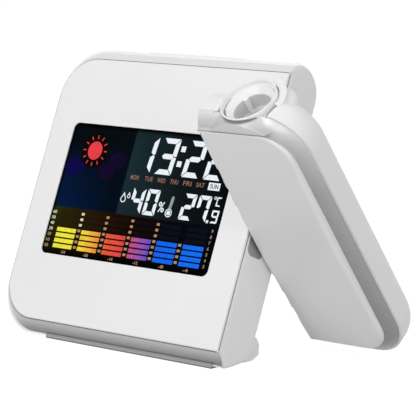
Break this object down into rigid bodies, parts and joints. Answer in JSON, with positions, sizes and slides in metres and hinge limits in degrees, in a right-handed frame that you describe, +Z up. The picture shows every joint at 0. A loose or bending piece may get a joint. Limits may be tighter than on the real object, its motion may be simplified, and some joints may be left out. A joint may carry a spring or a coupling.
{
  "type": "projection alarm clock",
  "caption": "Leaning alarm clock with a wide display and, beside it, an arm that projects the time through a lens in its end; snooze bar, rear keys, battery bay and hinge are separate.",
  "frame": {"origin": "on the surface the clock stands on, in the middle of the front foot's underside from front to rear, under the centre plane of the clock's body", "axes": "+X to the right seen from the front, towards the projector arm; -Y is the way the display faces; +Z is up"},
  "size_m": [0.1399, 0.0706, 0.0939],
  "materials": {
    "bezel_white": "satin",
    "housing_white": "satin",
    "silver_paint": "metallic satin",
    "hinge_grey": "matt",
    "smoked_window": "polished",
    "lcd_glass": "polished",
    "light_guide": "frosted",
    "inner_white": "matt",
    "inner_black": "matt",
    "button_grey": "matt",
    "rubber_grey": "matt",
    "board_green": "solder mask",
    "chip_black": "matt",
    "spring_steel": "plated",
    "cell_jacket": "printed sleeve",
    "steel": "zinc plated",
    "clear_lens": "polished",
    "led_clear": "clear resin"
  },
  "bodies": {
    "clock_body": {"front_bezel": "bezel_white", "display_window": "smoked_window", "lcd_panel": "lcd_glass", "backlight_guide": "light_guide", "display_tray": "inner_white", "trim_band": "silver_paint", "rear_housing": "housing_white", "side_panel": "housing_white", "front_foot": "silver_paint", "rubber_feet": "rubber_grey", "battery_cells": "cell_jacket", "battery_contacts": "spring_steel", "main_board": "board_green", "board_chips": "chip_black", "push_switches": "inner_black", "humidity_sensor": "inner_white", "power_jack": "inner_black", "buzzer": "inner_black", "body_screws": "steel", "hinge_washer": "hinge_grey"},
    "snooze": {"snooze_bar": "housing_white"},
    "mode_key": {"mode_button": "button_grey"},
    "set_key": {"set_button": "button_grey"},
    "up_key": {"up_button": "button_grey"},
    "down_key": {"down_button": "button_grey"},
    "door": {"battery_door": "housing_white"},
    "arm": {"arm_front_shell": "bezel_white", "arm_trim_band": "silver_paint", "arm_rear_shell": "housing_white", "lens_collar": "bezel_white", "projector_tube": "inner_black", "condenser_lens": "clear_lens", "slide_lcd": "lcd_glass", "led_board": "board_green", "projector_led": "led_clear", "arm_screws": "steel", "hinge_shaft": "steel", "hinge_nut": "steel", "spring_washer": "spring_steel"},
    "focus": {"focus_ring": "inner_white"},
    "barrel": {"lens_barrel": "inner_black", "projection_lens": "clear_lens"}
  },
  "joints": [
    {"name": "arm_swing", "type": "hinge", "parent": "clock_body", "child": "arm", "pos_m": [0.0489, 0.01763, 0.0455], "axis": [1, 0, 0], "range_deg": [-59.5, 120.5]},
    {"name": "focus_turn", "type": "hinge", "parent": "arm", "child": "focus", "pos_m": [0.06525, -0.01133, 0.08504], "axis": [0, -0.6032, 0.7976], "range_deg": [-22, 22]},
    {"name": "barrel_focus", "type": "slide", "parent": "arm", "child": "barrel", "axis": [0, -0.6032, 0.7976], "range_m": [-0.00075, 0.00075]},
    {"name": "snooze_press", "type": "slide", "parent": "clock_body", "child": "snooze", "axis": [0, -0.3811, -0.9245], "range_m": [0, 0.0007], "stiffness_N_per_m": 1500, "springref_m": -0.0005},
    {"name": "mode_press", "type": "slide", "parent": "clock_body", "child": "mode_key", "axis": [0, -0.9245, 0.3811], "range_m": [0, 0.0007], "stiffness_N_per_m": 1500, "springref_m": -0.0004},
    {"name": "set_press", "type": "slide", "parent": "clock_body", "child": "set_key", "axis": [0, -0.9245, 0.3811], "range_m": [0, 0.0007], "stiffness_N_per_m": 1500, "springref_m": -0.0004},
    {"name": "up_press", "type": "slide", "parent": "clock_body", "child": "up_key", "axis": [0, -0.9245, 0.3811], "range_m": [0, 0.0007], "stiffness_N_per_m": 1500, "springref_m": -0.0004},
    {"name": "down_press", "type": "slide", "parent": "clock_body", "child": "down_key", "axis": [0, -0.9245, 0.3811], "range_m": [0, 0.0007], "stiffness_N_per_m": 1500, "springref_m": -0.0004},
    {"name": "door_pull", "type": "slide", "parent": "clock_body", "child": "door", "axis": [0, 0.9245, -0.3811], "range_m": [0, 0.025]}
  ],
  "couplings": [
    {"joint": "focus_turn", "follows": "barrel_focus", "rad_per_m": 500}
  ]
}
